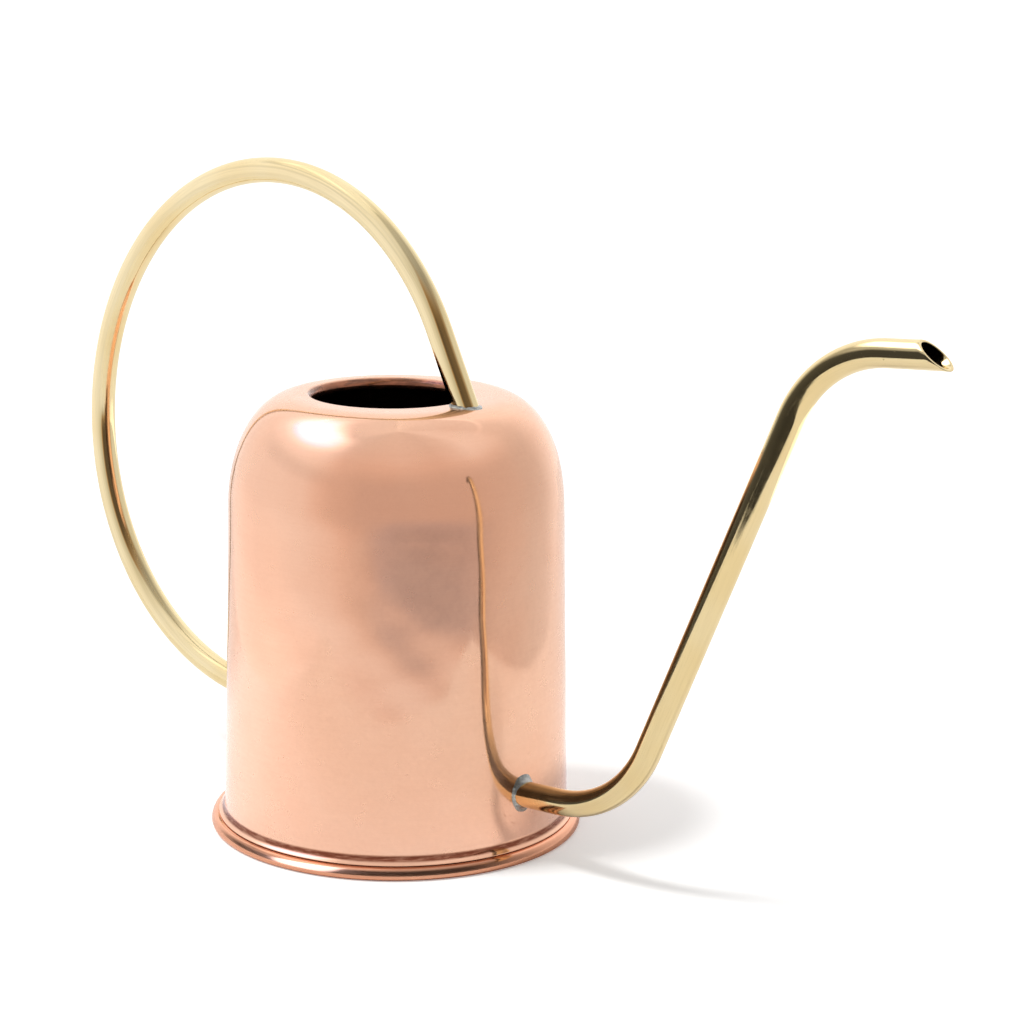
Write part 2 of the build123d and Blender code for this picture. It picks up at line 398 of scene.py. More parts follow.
def longer(rings, grain, end, direction, reach, shares):
    """Rings that carry a tube's end on by shares of reach, which may differ round the ring."""
    more, more_grain = [], []
    forward = 1 if end else -1
    for share in shares:
        more.append(rings[end] + direction * (reach * share)[:, None])
        moved = grain[end].copy()
        moved[:, 2] += forward * (reach * share)
        more_grain.append(moved)
    return more, more_grain


def make_tube(name, node, slot, finish, outer, outer_grain, inner, inner_grain):
    """Closed tube from matching outer and inner rings, with eased edges at both ends."""
    count, ease = TUBE_SIDES, 0.2

    def edge(a, b, neighbour_a, neighbour_b):
        na, nb = (v / np.linalg.norm(v, axis=1)[:, None] for v in (a - neighbour_a, b - neighbour_b))
        return [a - na * 0.13, a - na * 0.03 + (b - a) * 0.05, a + (b - a) * ease, b + (a - b) * ease,
                b - nb * 0.03 + (a - b) * 0.05, b - nb * 0.13]

    rows, grain = list(outer[1:-1]), list(outer_grain[1:-1])
    far = edge(outer[-1], inner[-1], outer[-2], inner[-2])
    rows += far
    grain += [outer_grain[-1]] * len(far)
    rows += list(inner[1:-1])[::-1]
    grain += list(inner_grain[1:-1])[::-1]
    near = edge(inner[0], outer[0], inner[1], outer[1])
    rows += near
    grain += [outer_grain[0]] * len(near)
    inside = np.zeros((len(rows), count), int)
    # the inner skin keeps the outer finish for its rows nearest the far end; deeper in it takes the
    # near-black inside finish, which is partly painted shade
    start, bright_rows = len(outer) - 2 + len(far), 7
    inside[start + bright_rows:start + len(inner) - 2] = 1
    return new_piece(name, np.concatenate(rows), loop_faces(len(rows), count), [node],
                     (finish, brass_inside), {"grain": np.concatenate(grain)}, inside=inside.ravel())


def make_spout():
    """Brass tube with two bends, its mouth cut on a slant."""
    points, directions = bent_path(SPOUT_CORNERS, SPOUT_BENDS, 4.0)
    top, bottom = np.array(MOUTH_TOP), np.array(MOUTH_BOTTOM)
    across = unit(bottom - top)
    normal = np.array([-across[1], across[0]])
    if normal @ directions[-1] < 0:
        normal = -normal
    keep = [i for i, p in enumerate(points) if (p - top) @ normal < -9.0]
    points, directions = points[keep], directions[keep]
    skins = []
    for radius in (TUBE_R, TUBE_R - TUBE_WALL):
        rings, grain = tube_rings(points, directions, radius)
        last = rings[-1]
        run = directions[-1]
        distance = ((top[0] - last[:, 0]) * normal[0] + (top[1] - last[:, 2]) * normal[1]) / (run @ normal)
        ahead = np.array([run[0], 0, run[1]])
        more, more_grain = longer(rings, grain, -1, ahead, distance, (0.35, 0.7, 0.9, 1.0))
        skins += [np.concatenate([rings, more]), np.concatenate([grain, more_grain])]
    return make_tube("brass_spout", "spout_tube", "brass_spout", brass, *skins)


def ring_point(t):
    """Place and direction on the handle's oval ring."""
    c, s = math.cos(RING_TILT), math.sin(RING_TILT)
    x = RING_CENTRE[0] + c * RING_SHORT * math.cos(t) - s * RING_LONG * math.sin(t)
    z = RING_CENTRE[1] + s * RING_SHORT * math.cos(t) + c * RING_LONG * math.sin(t)
    dx = -c * RING_SHORT * math.sin(t) - s * RING_LONG * math.cos(t)
    dz = -s * RING_SHORT * math.sin(t) + c * RING_LONG * math.cos(t)
    return np.array([x, z]), unit(np.array([dx, dz]))


def ring_lowest():
    return math.atan2(RING_LONG * math.cos(RING_TILT), RING_SHORT * math.sin(RING_TILT)) + math.pi


def handle_path():
    """The handle's axis: a straight front foot, the ring to its lowest point, a run into the wall."""
    ring = [ring_point(t) for t in np.linspace(RING_FRONT, ring_lowest(), 210)]
    first, first_direction = ring[0]
    last, last_direction = ring[-1]
    foot = (first[1] - BODY_TOP) / first_direction[1] - 5.2
    front = [(first - first_direction * foot * k / 7, first_direction) for k in range(7, 0, -1)]
    wall = -WALL_FOOT[0] - 2.0 - last[0]
    rear = [(last + last_direction * abs(wall) * k / 2, last_direction) for k in (1, 2) if abs(wall) > 0.5]
    return front + ring + rear


def make_handle():
    """Brass tube bent to a ring, both ends shaped to the body's skin."""
    path = handle_path()
    points, directions = np.array([p for p, _ in path]), np.array([d for _, d in path])
    sunk, longest = 0.12, 14.0
    front, rear = (np.array([d[0], 0, d[1]]) for d in (-directions[0], directions[-1]))
    skins = []
    for radius in (TUBE_R, TUBE_R - TUBE_WALL):
        rings, grain = tube_rings(points, directions, radius)
        reach = reach_skin(rings[0], front, longest) + sunk
        front_rings, front_grain = longer(rings, grain, 0, front, reach, (1.0, 0.85, 0.5))
        reach = reach_skin(rings[-1], rear, longest) + sunk
        rear_rings, rear_grain = longer(rings, grain, -1, rear, reach, (0.5, 0.85, 1.0))
        skins += [np.concatenate([front_rings, rings, rear_rings]),
                  np.concatenate([front_grain, grain, rear_grain])]
    return make_tube("brass_handle", "handle_tube", "brass_handle", brass_pale, *skins)


# ---- solder fillets
def make_fillet(name, node, origin, axis, widths, heights, seed, pinch=0.0, outset=18.0):
    """Uneven bead of solder round a tube where it meets the body's skin.

    origin is a point of the tube's axis near the skin and axis points away from the body.
    widths and heights are (mean, first harmonic, its phase) of the spread on the skin and the climb
    up the tube, in millimetres and radians.
    """
    count = SOLDER_SIDES
    rng = np.random.default_rng(seed)
    angle = round_angles(count)
    axis = unit(np.array(axis, float))
    side = np.array([0.0, 1.0, 0.0])
    up = np.cross(axis, side)

    def lumpy(mean, swing, phase, rough):
        value = mean * (1 - pinch * np.cos(2 * angle)) + swing * np.cos(angle - phase)
        for k in range(3, 15):
            value = value + rough * rng.normal() / math.sqrt(k) * np.cos(k * angle + rng.uniform(0, 6.28))
        return np.maximum(value, 0.25)

    width = lumpy(*widths, 0.10)
    height = lumpy(*heights, 0.09)
    spoke = np.cos(angle)[:, None] * side + np.sin(angle)[:, None] * up

    def on_skin(distance):
        start = np.array(origin) + axis * outset + spoke * distance[:, None]
        return start - axis * reach_skin(start, -axis, outset + 14)[:, None]

    tube_foot = on_skin(np.full(count, TUBE_R))
    rows = []
    profile = [(1.10, -0.16), (1.06, -0.04), (1.0, 0.035), (0.93, 0.09), (0.82, 0.15), (0.68, 0.23),
               (0.52, 0.34), (0.36, 0.49), (0.22, 0.67), (0.11, 0.83), (0.05, 0.93), (0.0, 1.0)]
    for share, lift in profile:
        base = on_skin(TUBE_R + width * share)
        if share > 1.0:
            rows.append(base + axis * lift)
            continue
        puff = 1 + 0.10 * np.sin(4 * angle + seed) * math.sin(math.pi * share)
        rows.append(base + axis * (height * lift * puff)[:, None])
    inset = 0.12
    tip = tube_foot + axis * height[:, None]
    rows.append(tip + axis * 0.02 - spoke * 0.05)
    rows.append(tip - axis * 0.06 - spoke * inset)
    rows.append(tube_foot + axis * (height * 0.5)[:, None] - spoke * inset)
    rows.append(tube_foot - axis * 0.16 - spoke * inset)
    rows.append(on_skin(TUBE_R + width * 0.5) - axis * 0.16)
    return new_piece(name, np.concatenate(rows), loop_faces(len(rows), count), [node], (solder,))


# ---- materials
class Nodes:
    """Short-hand for building a node tree."""

    def __init__(self, tree):
        self.tree = tree
        tree.nodes.clear()

    def add(self, kind, **settings):
        node = self.tree.nodes.new(kind)
        for key, value in settings.items():
            setattr(node, key, value)
        return node

    def link(self, output, socket):
        self.tree.links.new(output, socket)

    def put(self, value, socket):
        if isinstance(value, bpy.types.NodeSocket):
            self.link(value, socket)
        else:
            socket.default_value = value

    def made(self, kind, sockets, **settings):
        """New node with its sockets set, each from another node's socket or a plain value."""
        node = self.add(kind, **settings)
        for key, value in sockets.items():
            self.put(value, node.inputs[key])
        return node

    def math(self, operation, a, b=0.0):
        return self.made("ShaderNodeMath", {0: a, 1: b}, operation=operation).outputs[0]

    def times(self, a, b):
        return self.math("MULTIPLY", a, b)

    def plus(self, a, b):
        return self.math("ADD", a, b)

    def minus(self, a, b):
        return self.math("SUBTRACT", a, b)

    def vector(self, operation, a, b=(0.0, 0.0, 0.0)):
        second = "Scale" if operation == "SCALE" else 1
        node = self.made("ShaderNodeVectorMath", {0: a, second: b}, operation=operation)
        single = operation in ("DOT_PRODUCT", "LENGTH", "DISTANCE")
        return node.outputs["Value" if single else "Vector"]

    def noise(self, vector, scale, detail, roughness, distortion=0.0):
        return self.made("ShaderNodeTexNoise", {
            "Vector": vector, "Scale": scale, "Detail": detail, "Roughness": roughness,
            "Distortion": distortion}).outputs[0]

    def remap(self, value, a, b, to_a=0.0, to_b=1.0, smooth=True):
        return self.made("ShaderNodeMapRange", {
            "Value": value, "From Min": a, "From Max": b, "To Min": to_a, "To Max": to_b},
            interpolation_type="SMOOTHSTEP" if smooth else "LINEAR").outputs[0]

    def mix(self, factor, a, b):
        """Colour between a and b, each a socket, a colour or a level of grey."""
        node = self.made("ShaderNodeMix", {"Factor": factor}, data_type="RGBA", clamp_factor=True)
        for value, number in ((a, 6), (b, 7)):
            if isinstance(value, (int, float)):
                value = (value, value, value)
            if isinstance(value, tuple):
                value = (*value, 1.0)
            self.put(value, node.inputs[number])
        return node.outputs[2]

    def bump(self, height, distance, strength, normal=None):
        node = self.made("ShaderNodeBump", {"Height": height, "Distance": distance, "Strength": strength})
        if normal is not None:
            self.link(normal, node.inputs["Normal"])
        return node.outputs[0]


def bare_material(name):
    """New material, its nodes and the socket of its surface."""
    material = bpy.data.materials.new(name)
    material.use_nodes = True
    nodes = Nodes(material.node_tree)
    return material, nodes, nodes.add("ShaderNodeOutputMaterial").inputs["Surface"]


def new_material(name):
    material, nodes, surface = bare_material(name)
    shader = nodes.add("ShaderNodeBsdfPrincipled")
    nodes.link(shader.outputs[0], surface)
    return material, nodes, shader


def dress(nodes, shader, colour, roughness, metallic, normal):
    """Sets a shader's four main sockets, each from a node's socket or a plain value."""
    for name, value in (("Base Color", colour), ("Roughness", roughness),
                        ("Metallic", metallic), ("Normal", normal)):
        nodes.put(value, shader.inputs[name])


def scaled(colour, share):
    return tuple(share * c for c in colour)


def place(nodes):
    """Object coordinates in millimetres."""
    coordinates = nodes.add("ShaderNodeTexCoord")
    return nodes.vector("SCALE", coordinates.outputs["Object"], 1000.0)


def near(nodes, where, centre, inner, outer):
    """One close to a point of the object and zero far from it."""
    return nodes.remap(nodes.vector("DISTANCE", where, centre), inner, outer, 1.0, 0.0)


def pits(nodes, where, scale, core, edge, depth, rare, rarest):
    """Scattered small pits, in the few cells of a cell pattern whose random number is high."""
    cells = nodes.made("ShaderNodeTexVoronoi", {"Vector": where, "Scale": scale, "Randomness": 1.0})
    chance = nodes.made("ShaderNodeSeparateColor", {0: cells.outputs["Color"]})
    return nodes.times(nodes.remap(cells.outputs["Distance"], core, edge, depth, 0.0),
                       nodes.remap(chance.outputs[0], rare, rarest))


def copper_material(name, bright, deep, polish, haze, haze_share, joint_marks=None):
    """Hand-polished copper. Its fine scratches give a haze round every mirrored edge.

    joint_marks is the middle of the heat mark round the spout's joint; the shell alone has one.
    """
    material, nodes, surface = bare_material(name)
    where = place(nodes)
    # polishing runs round the body: fine in height, long round the circumference
    lathe = nodes.vector("MULTIPLY", where, (0.11, 0.11, 2.6))
    hair = nodes.vector("MULTIPLY", where, (0.30, 0.30, 7.5))
    grain = nodes.noise(lathe, 1.0, 3.0, 0.6)
    fine = nodes.noise(hair, 1.0, 2.0, 0.55)
    cloud = nodes.noise(where, 0.022, 3.0, 0.55, 0.4)
    cloth = nodes.noise(where, 0.16, 3.0, 0.6)
    pit = pits(nodes, where, 0.21, 0.02, 0.055, 0.6, 0.94, 0.96)
    tint = nodes.remap(cloud, 0.36, 0.66)
    colour = nodes.mix(nodes.times(tint, 0.6), bright, deep)
    streak = nodes.remap(grain, 0.35, 0.75, 0.0, 0.10)
    colour = nodes.mix(streak, colour, scaled(deep, 0.80))
    if joint_marks:
        speck = nodes.noise(where, 0.95, 4.0, 0.7)
        flecks = nodes.remap(speck, 0.60, 0.68)
        zone = near(nodes, where, joint_marks, 4.5, 11.5)
        stain = nodes.times(flecks, zone)
        colour = nodes.mix(nodes.times(stain, 0.85), colour, (0.19, 0.055, 0.035))
        warm = near(nodes, where, joint_marks, 5.0, 17.0)
        colour = nodes.mix(nodes.times(warm, 0.30), colour, (0.86, 0.40, 0.24))
        marks = stain
    else:
        marks = nodes.times(pit, 0.2)
    colour = nodes.mix(nodes.times(pit, 0.6), colour, (0.30, 0.12, 0.07))
    if joint_marks:
        # painted reflection: the cove above the foot is darkened to brown, standing in for the dark front of
        # the room that it mirrors
        z = nodes.made("ShaderNodeSeparateXYZ", {0: where}).outputs[2]
        cove_shade = nodes.times(nodes.remap(z, 6.9, 6.2), nodes.remap(z, 4.7, 5.3))
        smear = nodes.noise(nodes.vector("MULTIPLY", where, (0.25, 0.25, 2.0)), 1.0, 3.0, 0.6)
        cove_shade_strength = nodes.remap(smear, 0.3, 0.6, 0.70, 1.0)
        colour = nodes.mix(nodes.times(cove_shade, cove_shade_strength), colour, (0.24, 0.075, 0.042))
        # the roll of the filler coloured a darker brown, in blotches
        from_axis = nodes.vector("SUBTRACT", where, (LIP_OFFSET, 0.0, 0.0))
        radius = nodes.vector("LENGTH", nodes.vector("MULTIPLY", from_axis, (1.0, 1.0, 0.0)))
        roll = nodes.remap(radius, LIP_FLAT_RADIUS - 0.5, LIP_FLAT_RADIUS - 1.5)
        roll_blotch = nodes.noise(nodes.vector("MULTIPLY", where, (0.16, 0.16, 1.1)), 1.0, 4.0, 0.65)
        roll_brown = nodes.mix(nodes.remap(roll_blotch, 0.36, 0.62), (0.34, 0.125, 0.07), (0.11, 0.042, 0.028))
        colour = nodes.mix(nodes.times(roll, 0.9), colour, roll_brown)
    scratch_depth, mark_depth = 0.000008, 0.00002
    first = nodes.bump(nodes.plus(nodes.times(grain, 0.5), nodes.times(fine, 0.5)), scratch_depth, 0.35)
    second = nodes.bump(nodes.minus(1.0, marks), mark_depth, 0.5, first)
    blend = nodes.add("ShaderNodeMixShader")
    nodes.link(blend.outputs[0], surface)
    share = nodes.plus(haze_share, nodes.remap(cloth, 0.3, 0.75, -0.03, 0.03))
    share = nodes.plus(share, nodes.times(marks, 0.4))
    nodes.link(share, blend.inputs[0])
    for rough, mixed in ((polish, blend.inputs[1]), (haze, blend.inputs[2])):
        lobe = nodes.add("ShaderNodeBsdfPrincipled")
        nodes.link(lobe.outputs[0], mixed)
        spread = nodes.plus(nodes.remap(grain, 0.3, 0.7, rough * 0.85, rough * 1.2),
                            nodes.remap(cloth, 0.3, 0.8, -0.01, 0.02))
        dress(nodes, lobe, colour, spread, 1.0, second)
    return material


def inside_material(name, bright, dark):
    """Unpolished, oxidised metal inside the tank and the tubes, its colour made near black: partly painted
    shade for the dark inside.
    """
    material, nodes, shader = new_material(name)
    where = place(nodes)
    blotch = nodes.noise(where, 0.10, 4.0, 0.65)
    grit = nodes.noise(where, 1.6, 3.0, 0.6)
    colour = nodes.mix(nodes.remap(blotch, 0.38, 0.68), dark, bright)
    colour = nodes.mix(nodes.remap(grit, 0.5, 0.75, 0.0, 0.5), colour, scaled(dark, 0.5))
    dress(nodes, shader, colour, nodes.remap(grit, 0.3, 0.7, 0.5, 0.75), 0.7, nodes.bump(grit, 0.00008, 0.5))
    return material


def brass_material(name, bright, deep):
    """Drawn and polished brass, its marks running along the tube."""
    material, nodes, shader = new_material(name)
    where = place(nodes)
    attribute = nodes.add("ShaderNodeAttribute", attribute_name="grain")
    along = nodes.vector("MULTIPLY", attribute.outputs["Vector"], (2.4, 2.4, 0.075))
    draw = nodes.noise(along, 1.0, 3.0, 0.6)
    cloud = nodes.noise(where, 0.035, 2.0, 0.5)
    smear = nodes.noise(where, 0.30, 3.0, 0.6)
    pit = pits(nodes, where, 0.30, 0.04, 0.08, 1.0, 0.88, 0.92)
    colour = nodes.mix(nodes.remap(cloud, 0.35, 0.68, 0.0, 0.7), bright, deep)
    colour = nodes.mix(nodes.remap(draw, 0.4, 0.75, 0.0, 0.18), colour, scaled(deep, 0.75))
    colour = nodes.mix(nodes.times(pit, 0.5), colour, (0.25, 0.17, 0.06))
    rough = nodes.plus(nodes.remap(draw, 0.35, 0.7, 0.045, 0.13), nodes.remap(smear, 0.35, 0.75, 0.0, 0.05))
    rough = nodes.plus(rough, nodes.times(pit, 0.2))
    scratch_depth, pit_depth = 0.00001, 0.00004
    first = nodes.bump(draw, scratch_depth, 0.45)
    dress(nodes, shader, colour, rough, 1.0, nodes.bump(nodes.minus(1.0, pit), pit_depth, 0.5, first))
    return material


def solder_material(name, bright, dull):
    """Soft solder as it set: lumpy and half dull."""
    material, nodes, shader = new_material(name)
    where = place(nodes)
    lump = nodes.noise(where, 0.55, 4.0, 0.6)
    grit = nodes.noise(where, 3.2, 3.0, 0.65)
    colour = nodes.mix(nodes.remap(lump, 0.36, 0.66), bright, dull)
    colour = nodes.mix(nodes.remap(grit, 0.56, 0.72, 0.0, 0.55), colour, (0.16, 0.15, 0.14))
    normal = nodes.bump(nodes.plus(lump, nodes.times(grit, 0.25)), 0.00035, 0.7)
    dress(nodes, shader, colour, nodes.remap(grit, 0.3, 0.7, 0.26, 0.52), 0.9, normal)
    return material


heat_mark = (WALL_FOOT[0] - 0.4, 0.0, SPOUT_CORNERS[0][1] - 4.0)
copper = copper_material("copper_polished", (0.940, 0.570, 0.395), (0.920, 0.515, 0.340), 0.065, 0.36, 0.28,
                         heat_mark)
copper_foot = copper_material("copper_base", (0.940, 0.465, 0.290), (0.880, 0.385, 0.225), 0.075, 0.32, 0.30)
copper_inside = inside_material("copper_inside", (0.055, 0.024, 0.016), (0.012, 0.008, 0.007))
brass = brass_material("brass_spout", (0.895, 0.720, 0.410), (0.855, 0.650, 0.320))
brass_pale = brass_material("brass_handle", (0.900, 0.740, 0.430), (0.865, 0.665, 0.335))
brass_inside = inside_material("brass_inside", (0.10, 0.07, 0.03), (0.02, 0.015, 0.008))
solder = solder_material("soft_solder", (0.66, 0.66, 0.63), (0.40, 0.41, 0.40))

# ---- the pieces
body = make_body()
base = make_base()
spout = make_spout()
handle = make_handle()
(root_x, root_z), (bend_x, bend_z) = SPOUT_CORNERS[:2]
make_fillet("spout_fillet", "spout_solder", (root_x, 0, root_z),
            (bend_x - root_x, 0, bend_z - root_z), (1.30, 0.20, 1.2), (1.15, 0.15, 1.0), 11, pinch=0.38)
front_point, front_axis = ring_point(RING_FRONT)
inward = 24
make_fillet("handle_front_fillet", "handle_front_solder",
            (front_point[0] - front_axis[0] * inward, 0, front_point[1] - front_axis[1] * inward),
            (front_axis[0], 0, front_axis[1]), (0.75, 0.12, 0.4), (0.75, 0.15, 2.0), 23)
rear_point, _ = ring_point(ring_lowest())
make_fillet("handle_rear_fillet", "handle_rear_solder", (-WALL_FOOT[0], 0, rear_point[1]),
            (-1, 0, 0), (1.4, 0.2, 2.5), (1.3, 0.2, 1.5), 37)
# the seam's bead is hidden inside, so its CAD mesh stays and only takes the solder's look
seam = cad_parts["base_seam_solder"]
seam.data.materials.clear()
seam.data.materials.append(solder)


# ---- studio
CAMERA_AZIMUTH = math.radians(44.4586)
CAMERA_DISTANCE, CAMERA_HEIGHT = 825.32, 293.93
CAMERA_YAW, CAMERA_PITCH, CAMERA_ROLL = 0.042954, 0.231798, 0.011915
toward_camera = Vector((math.sin(CAMERA_AZIMUTH), -math.cos(CAMERA_AZIMUTH), 0))
to_the_right = Vector((math.cos(CAMERA_AZIMUTH), math.sin(CAMERA_AZIMUTH), 0))


def studio(right, away, up):
    """Vector from amounts to the right of the picture, away from the camera and up."""
    return to_the_right * right - toward_camera * away + Vector((0, 0, up))


def heading(azimuth, elevation):
    """Unit vector of a studio direction: 0 is towards the camera, positive to the right."""
    a, e = math.radians(azimuth), math.radians(elevation)
    return studio(math.sin(a) * math.cos(e), -math.cos(a) * math.cos(e), math.sin(e))


def make_camera():
    """Camera where the photograph was taken from."""
    data = bpy.data.cameras.new("camera")
    camera = in_scene("camera", data)
    data.sensor_width, data.lens = 36.0, 96.68
    data.clip_start, data.clip_end = 0.01, 50.0
    cy, sy = math.cos(CAMERA_YAW), math.sin(CAMERA_YAW)
    cp, sp = math.cos(CAMERA_PITCH), math.sin(CAMERA_PITCH)
    forward = studio(sy * cp, cy * cp, -sp)
    right = studio(cy, -sy, 0)
    up = right.cross(forward)
    turned_right = right * math.cos(CAMERA_ROLL) + up * math.sin(CAMERA_ROLL)
    turned_up = up * math.cos(CAMERA_ROLL) - right * math.sin(CAMERA_ROLL)
    turn = Matrix((turned_right, turned_up, -forward)).transposed().to_4x4()
    stand = toward_camera * CAMERA_DISTANCE + Vector((0, 0, CAMERA_HEIGHT))
    camera.matrix_world = Matrix.Translation(stand * MM) @ turn
    bpy.context.scene.camera = camera


def ramp(nodes, value, stops):
    """Piecewise-linear grey curve of a value from 0 to 1."""
    node = nodes.made("ShaderNodeValToRGB", {0: value})
    elements = node.color_ramp.elements
    while len(elements) > 1:
        elements.remove(elements[-1])
    for i, (position, level) in enumerate(stops):
        element = elements[0] if i == 0 else elements.new(position)
        element.position = position
        element.color = (level, level, level, 1)
    return node.outputs[0]


def at(degrees):
    """Place of an azimuth on a colour ramp that runs once round, from behind the object."""
    return (degrees + 180) / 360


class StudioView:
    """Azimuth and elevation of a direction, in radians, as nodes."""

    def __init__(self, nodes, direction):
        self.nodes = nodes
        self.front = nodes.vector("DOT_PRODUCT", direction, tuple(toward_camera))
        self.right = nodes.vector("DOT_PRODUCT", direction, tuple(to_the_right))
        up = nodes.vector("DOT_PRODUCT", direction, (0, 0, 1))
        self.azimuth = nodes.math("ARCTAN2", self.right, self.front)
        self.turn = nodes.remap(self.azimuth, -math.pi, math.pi, 0.0, 1.0, smooth=False)
        self.elevation = nodes.math("ARCSINE", up)

    def round_ramp(self, stops):
        return ramp(self.nodes, self.turn, [(at(a), v) for a, v in stops])

    def climb(self, low_degrees, high_degrees, low_level=0.0, high_level=1.0):
        return self.nodes.remap(self.elevation, math.radians(low_degrees), math.radians(high_degrees),
                                low_level, high_level)

    def patch(self, azimuth, elevation, half_width, half_height, soft):
        """One inside a soft-edged oval patch of the studio, zero outside it."""
        n = self.nodes

        def share(angle, middle, half):
            return n.math("DIVIDE", n.minus(angle, math.radians(middle)), math.radians(half))

        squares = [n.times(value, value) for value in (share(self.azimuth, azimuth, half_width),
                                                       share(self.elevation, elevation, half_height))]
        return n.remap(n.math("SQRT", n.plus(*squares)), 1.0 - soft, 1.0 + soft, 1.0, 0.0)


# azimuth, elevation and half sizes, in degrees
SOFTBOX = (-106, 54, 42, 13)


def room_level(view):
    """Brightness of the room round the table: white behind, dark in front and low on the left."""
    n = view.nodes
    horizon = view.round_ramp([
        (-180, 1.15), (-150, 1.12), (-138, 0.95), (-126, 0.45), (-112, 0.10), (-90, 0.07), (-60, 0.045),
        (45, 0.045), (60, 0.13), (75, 0.28), (90, 0.42), (102, 0.62), (118, 0.75), (135, 0.98), (150, 1.18),
        (180, 1.15),
    ])
    side = view.round_ramp([(-180, 1.0), (-60, 1.0), (-10, 0.62), (100, 0.62), (140, 1.0), (180, 1.0)])
    overhead = n.times(view.climb(48, 85, 0.62, 0.95), side)
    is_back = n.remap(view.front, 0.15, -0.35)
    is_side = n.remap(view.right, -0.55, -0.92)

    def blend(share, a, b):
        return n.plus(n.times(a, n.minus(1.0, share)), n.times(b, share))

    # the walls go up to here, and the ceiling starts
    edge = blend(is_side, blend(is_back, view.climb(36, 62), view.climb(51.5, 54.5)), view.climb(16, 30))
    level = n.mix(edge, horizon, overhead)
    return n.plus(level, n.times(view.patch(*SOFTBOX, 0.30), 0.7))


def make_world():
    """The mirrored room, and plain white for the camera itself."""
    world = bpy.data.worlds.new("studio")
    bpy.context.scene.world = world
    world.use_nodes = True
    nodes = Nodes(world.node_tree)
    view = StudioView(nodes, nodes.add("ShaderNodeTexCoord").outputs["Generated"])
    seen = nodes.add("ShaderNodeLightPath").outputs["Is Camera Ray"]
    colour = nodes.mix(seen, room_level(view), (1.0, 1.0, 1.0))
    shader = nodes.made("ShaderNodeBackground", {"Color": colour, "Strength": 1.0})
    nodes.made("ShaderNodeOutputWorld", {"Surface": shader.outputs[0]})


def shell_level(view):
    """What the copper shell mirrors: the room with panels that lift its dark front and sides."""
    n = view.nodes
    under = view.round_ramp([
        (-180, 1.2), (-132, 1.2), (-110, 1.24), (-88, 1.24), (-67, 1.16), (-45, 1.06), (-24, 1.00),
        (2, 0.97), (22, 0.93), (42, 0.91), (60, 0.82), (81, 0.64), (101, 0.71), (119, 0.80), (135, 1.0),
        (180, 1.1),
    ])
    level_with_table = view.round_ramp([
        (-180, 1.1), (-132, 1.08), (-110, 1.02), (-89, 1.03), (-67, 0.93), (-45, 0.83), (-24, 0.62),
        (2, 0.44), (22, 0.41), (42, 0.44), (60, 0.56), (81, 0.67), (101, 0.70), (119, 0.76), (135, 0.95),
        (150, 1.15), (180, 1.2),
    ])
    middle = view.round_ramp([
        (-180, 1.1), (-132, 1.0), (-111, 0.97), (-92, 0.96), (-68, 0.90), (-47, 0.68), (-26, 0.59),
        (2, 0.59), (22, 0.60), (45, 0.60), (84, 0.66), (103, 0.69), (121, 0.76), (135, 0.85), (150, 1.0),
        (180, 1.1),
    ])
    above = view.round_ramp([
        (-180, 0.95), (-91, 0.90), (-60, 0.80), (-38, 0.76), (3, 0.82), (34, 0.76), (55, 0.85), (70, 1.0),
        (95, 0.95), (110, 0.85), (150, 0.95), (180, 1.1),
    ])
    level = n.mix(view.climb(-13.9, -10.6), under, level_with_table)
    level = n.mix(view.climb(-8, 3), level, middle)
    level = n.mix(view.climb(22, 48), level, above)
    # spill of the softbox, long towards the table and short towards the ceiling
    spill = view.round_ramp([
        (-180, 0.0), (-160, 0.15), (-128, 0.62), (-80, 0.62), (-62, 0.40), (-45, 0.0), (180, 0.0),
    ])
    spill = n.times(spill, n.times(view.climb(24, 60), view.climb(60, 69, 1.0, 0.0)))
    return n.plus(n.plus(level, spill), view.patch(*SOFTBOX, 0.45))


def handle_level(view):
    """What the handle mirrors: the room with panels on the left and, weaker, on the right."""
    n = view.nodes
    low = view.round_ramp([(-180, 0.98), (-60, 0.96), (10, 0.9), (22, 0.4), (34, 0.05), (180, 0.05)])
    middle = view.round_ramp([
        (-180, 1.15), (-112, 1.1), (-90, 1.05), (-66, 0.98), (-45, 0.82), (-34, 0.7), (-23, 0.62),
        (-15, 0.50), (-10, 0.16), (-5, 0.12), (48, 0.12), (64, 0.45), (84, 0.80), (180, 0.80),
    ])
    above = view.round_ramp([
        (-180, 1.15), (-60, 1.05), (-20, 0.85), (0, 0.5), (40, 0.4), (90, 0.4), (180, 1.15),
    ])
    level = n.mix(view.climb(-16, -8), low, middle)
    return n.mix(view.climb(28, 55), level, above)


def room_with(view, patch, strength):
    return view.nodes.plus(room_level(view), view.nodes.times(view.patch(*patch), strength))


def foot_level(view):
    """The room with the tall side of the softbox, as the foot's bead mirrors it."""
    return room_with(view, (-60, 27, 22, 36, 0.2), 2.4)


def spout_level(view):
    """The room with the softbox as bright as the spout shows it."""
    return room_with(view, (-104, 54, 44, 14, 0.3), 1.9)


def glow_material(name):
    """See-through material that only adds light, and the socket of its strength."""
    material, nodes, surface = bare_material(name)
    glow = nodes.add("ShaderNodeEmission")
    clear = nodes.add("ShaderNodeBsdfTransparent")
    both = nodes.made("ShaderNodeAddShader", {0: glow.outputs[0], 1: clear.outputs[0]})
    nodes.link(both.outputs[0], surface)
    material.cycles.emission_sampling = "NONE"
    return material, nodes, glow.inputs["Strength"], glow.inputs["Color"]


